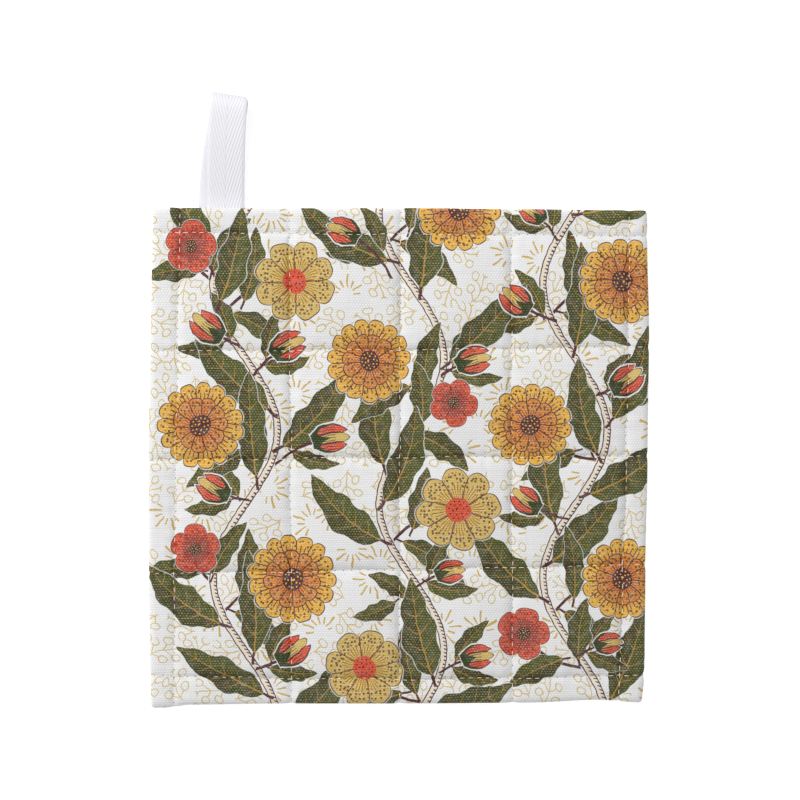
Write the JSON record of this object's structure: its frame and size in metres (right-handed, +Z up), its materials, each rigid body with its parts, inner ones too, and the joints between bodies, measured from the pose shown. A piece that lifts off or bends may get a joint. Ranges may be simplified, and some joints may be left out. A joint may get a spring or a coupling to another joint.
{
  "type": "quilted potholder",
  "caption": "Square quilted cotton potholder with crowned pillows between sewn channels, a turned edge and a folded tape loop at one corner to hang it by.",
  "frame": {"origin": "middle of the whole potholder's footprint, loop included, on the surface that it lies on", "axes": "+Z up, out of the printed front; +Y towards the edge that carries the loop; +X to the right of it, seen from the front"},
  "size_m": [0.2018, 0.2484, 0.0087],
  "materials": {
    "printed_cotton": "matte plain-weave cotton, off-white ground printed with a botanical pattern in olive green, ochre, coral and maroon",
    "cotton_tape": "matte white herringbone cotton tape"
  },
  "bodies": {
    "root": {"quilted_pad": "printed_cotton", "hanging_loop": "cotton_tape"}
  },
  "joints": []
}
